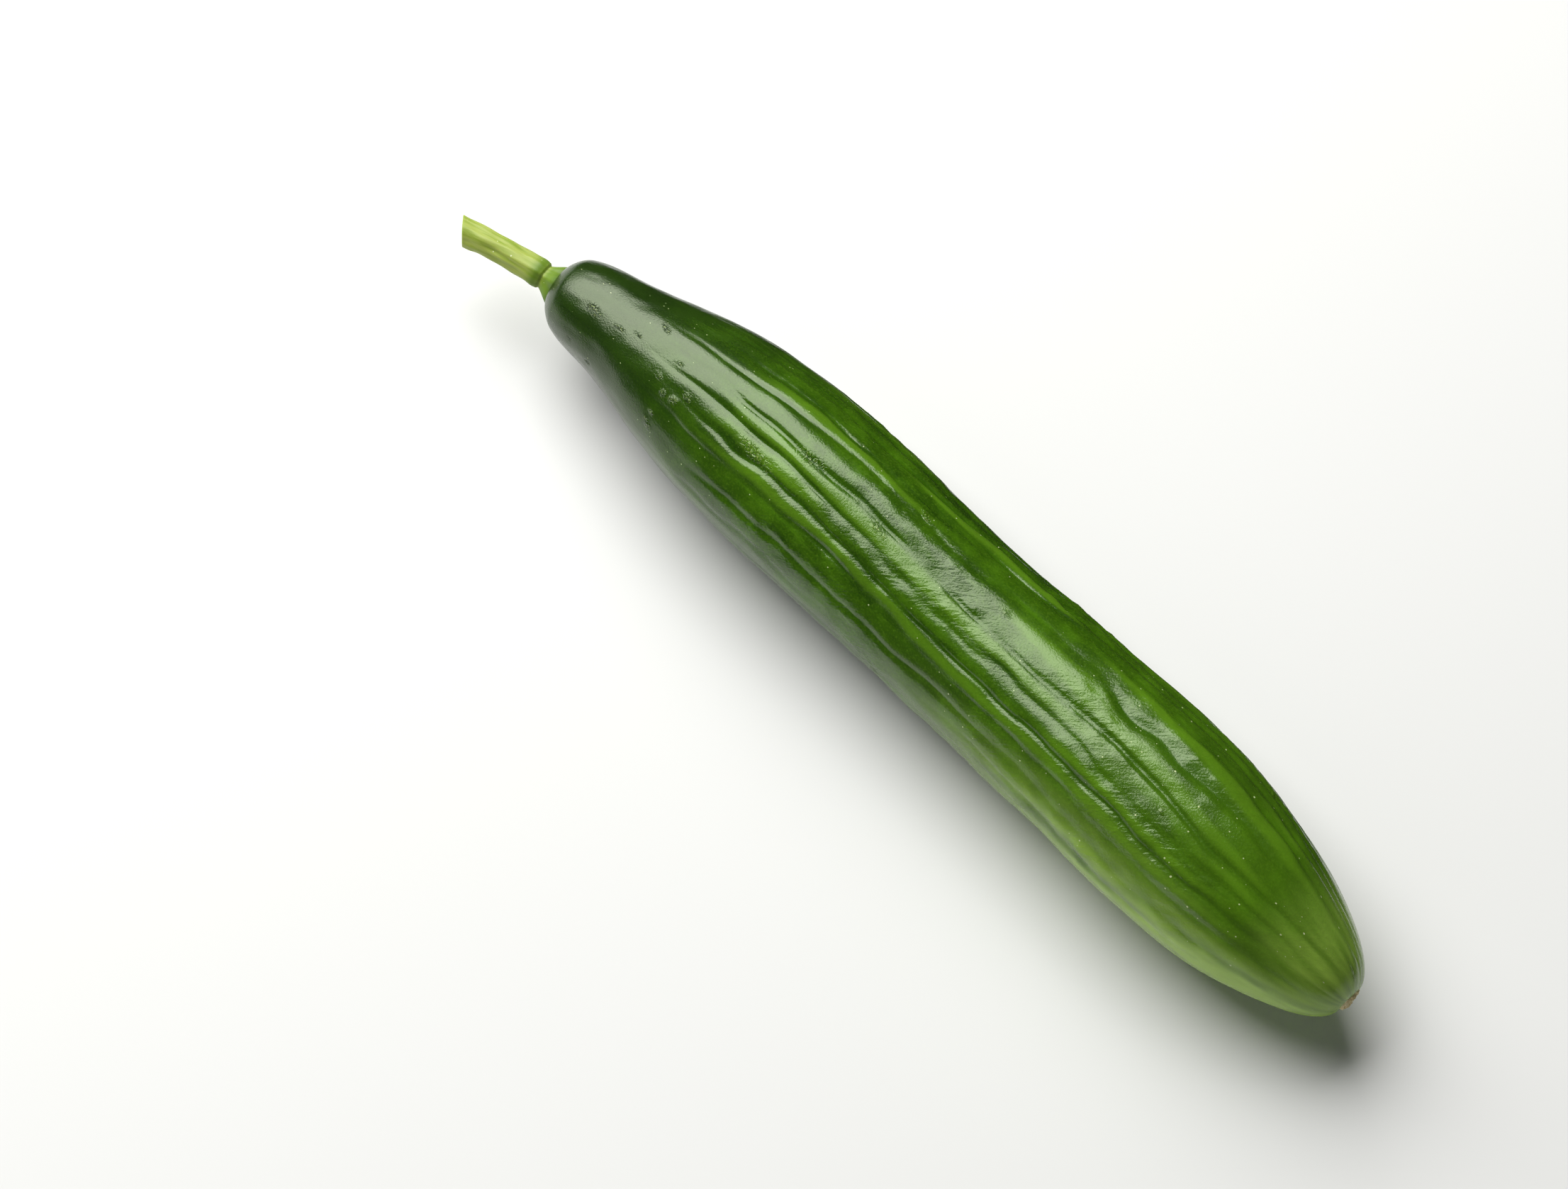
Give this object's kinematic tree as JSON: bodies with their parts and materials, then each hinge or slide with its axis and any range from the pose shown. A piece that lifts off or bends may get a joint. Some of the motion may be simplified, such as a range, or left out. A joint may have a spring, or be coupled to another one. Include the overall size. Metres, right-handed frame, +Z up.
{
  "type": "cucumber",
  "caption": "Whole fresh cucumber lying on its side, smooth dark green skin with shallow ribs, a slim neck with its cut stalk, and a rounded blossom end with a dry scar.",
  "frame": {"origin": "under the middle of the whole cucumber's box, on the surface it lies on", "axes": "+X along the fruit from the stalk to the blossom end, +Y to its left seen from above, +Z up"},
  "size_m": [0.2458, 0.0418, 0.0378],
  "materials": {
    "waxy_skin": "satin",
    "green_stalk": "matte",
    "dry_cork": "rough"
  },
  "bodies": {
    "root": {"fruit": "waxy_skin", "stalk": "green_stalk", "blossom_scar": "dry_cork"}
  },
  "joints": []
}
